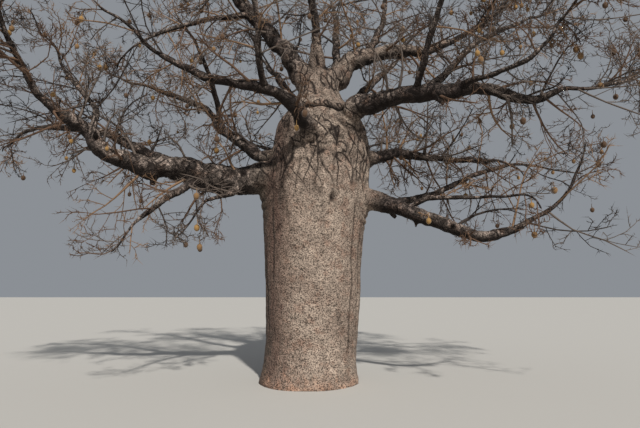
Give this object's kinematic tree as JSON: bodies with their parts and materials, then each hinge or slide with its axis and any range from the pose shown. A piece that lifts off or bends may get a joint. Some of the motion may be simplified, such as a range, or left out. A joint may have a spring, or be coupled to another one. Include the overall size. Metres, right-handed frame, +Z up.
{
  "type": "baobab tree",
  "caption": "Whole baobab tree with a bare crown: a columnar swollen trunk, crooked spreading boughs, and masses of bare twigs hung with oval fruit.",
  "frame": {"origin": "middle of the flat cut under the trunk, at ground level", "axes": "+Z up, +X across the tree to the right of its front view, +Y from its front to its back"},
  "size_m": [13.4578, 9.7972, 10.3664],
  "materials": {
    "trunk_bark": "matt, finely pitted grey-brown bark, redder towards the foot",
    "bough_bark": "matt grey-brown bark with folds at the joints",
    "twig_bark": "matt grey-brown twig bark, with brown and ochre fruit"
  },
  "bodies": {
    "root": {"trunk": "trunk_bark", "left_low": "bough_bark", "left_light": "bough_bark", "left_droop": "bough_bark", "left_spur": "bough_bark", "left_riser": "bough_bark", "left_back": "bough_bark", "left_back_riser": "bough_bark", "front_left": "bough_bark", "front_shoot": "bough_bark", "leader_left": "bough_bark", "leader_left_side": "bough_bark", "middle_front": "bough_bark", "middle_back": "bough_bark", "right_high": "bough_bark", "right_high_riser": "bough_bark", "right_mid": "bough_bark", "right_mid_upper": "bough_bark", "right_mid_shoot": "bough_bark", "right_mid_side": "bough_bark", "right_gnarl": "bough_bark", "right_low": "bough_bark", "right_low_upper": "bough_bark", "right_low_middle": "bough_bark", "back_low": "bough_bark", "back_low_left": "bough_bark", "back_low_right": "bough_bark", "back_high_left": "bough_bark", "back_high_right": "bough_bark", "left_low_twigs": "twig_bark", "left_light_twigs": "twig_bark", "left_droop_twigs": "twig_bark", "left_spur_twigs": "twig_bark", "left_riser_twigs": "twig_bark", "left_back_twigs": "twig_bark", "left_back_riser_twigs": "twig_bark", "front_left_twigs": "twig_bark", "front_shoot_twigs": "twig_bark", "leader_left_twigs": "twig_bark", "leader_left_side_twigs": "twig_bark", "middle_front_twigs": "twig_bark", "middle_back_twigs": "twig_bark", "right_high_twigs": "twig_bark", "right_high_riser_twigs": "twig_bark", "right_mid_twigs": "twig_bark", "right_mid_upper_twigs": "twig_bark", "right_mid_shoot_twigs": "twig_bark", "right_mid_side_twigs": "twig_bark", "right_gnarl_twigs": "twig_bark", "right_low_twigs": "twig_bark", "right_low_upper_twigs": "twig_bark", "right_low_middle_twigs": "twig_bark", "back_low_twigs": "twig_bark", "back_low_left_twigs": "twig_bark", "back_low_right_twigs": "twig_bark", "back_high_left_twigs": "twig_bark", "back_high_right_twigs": "twig_bark"}
  },
  "joints": []
}
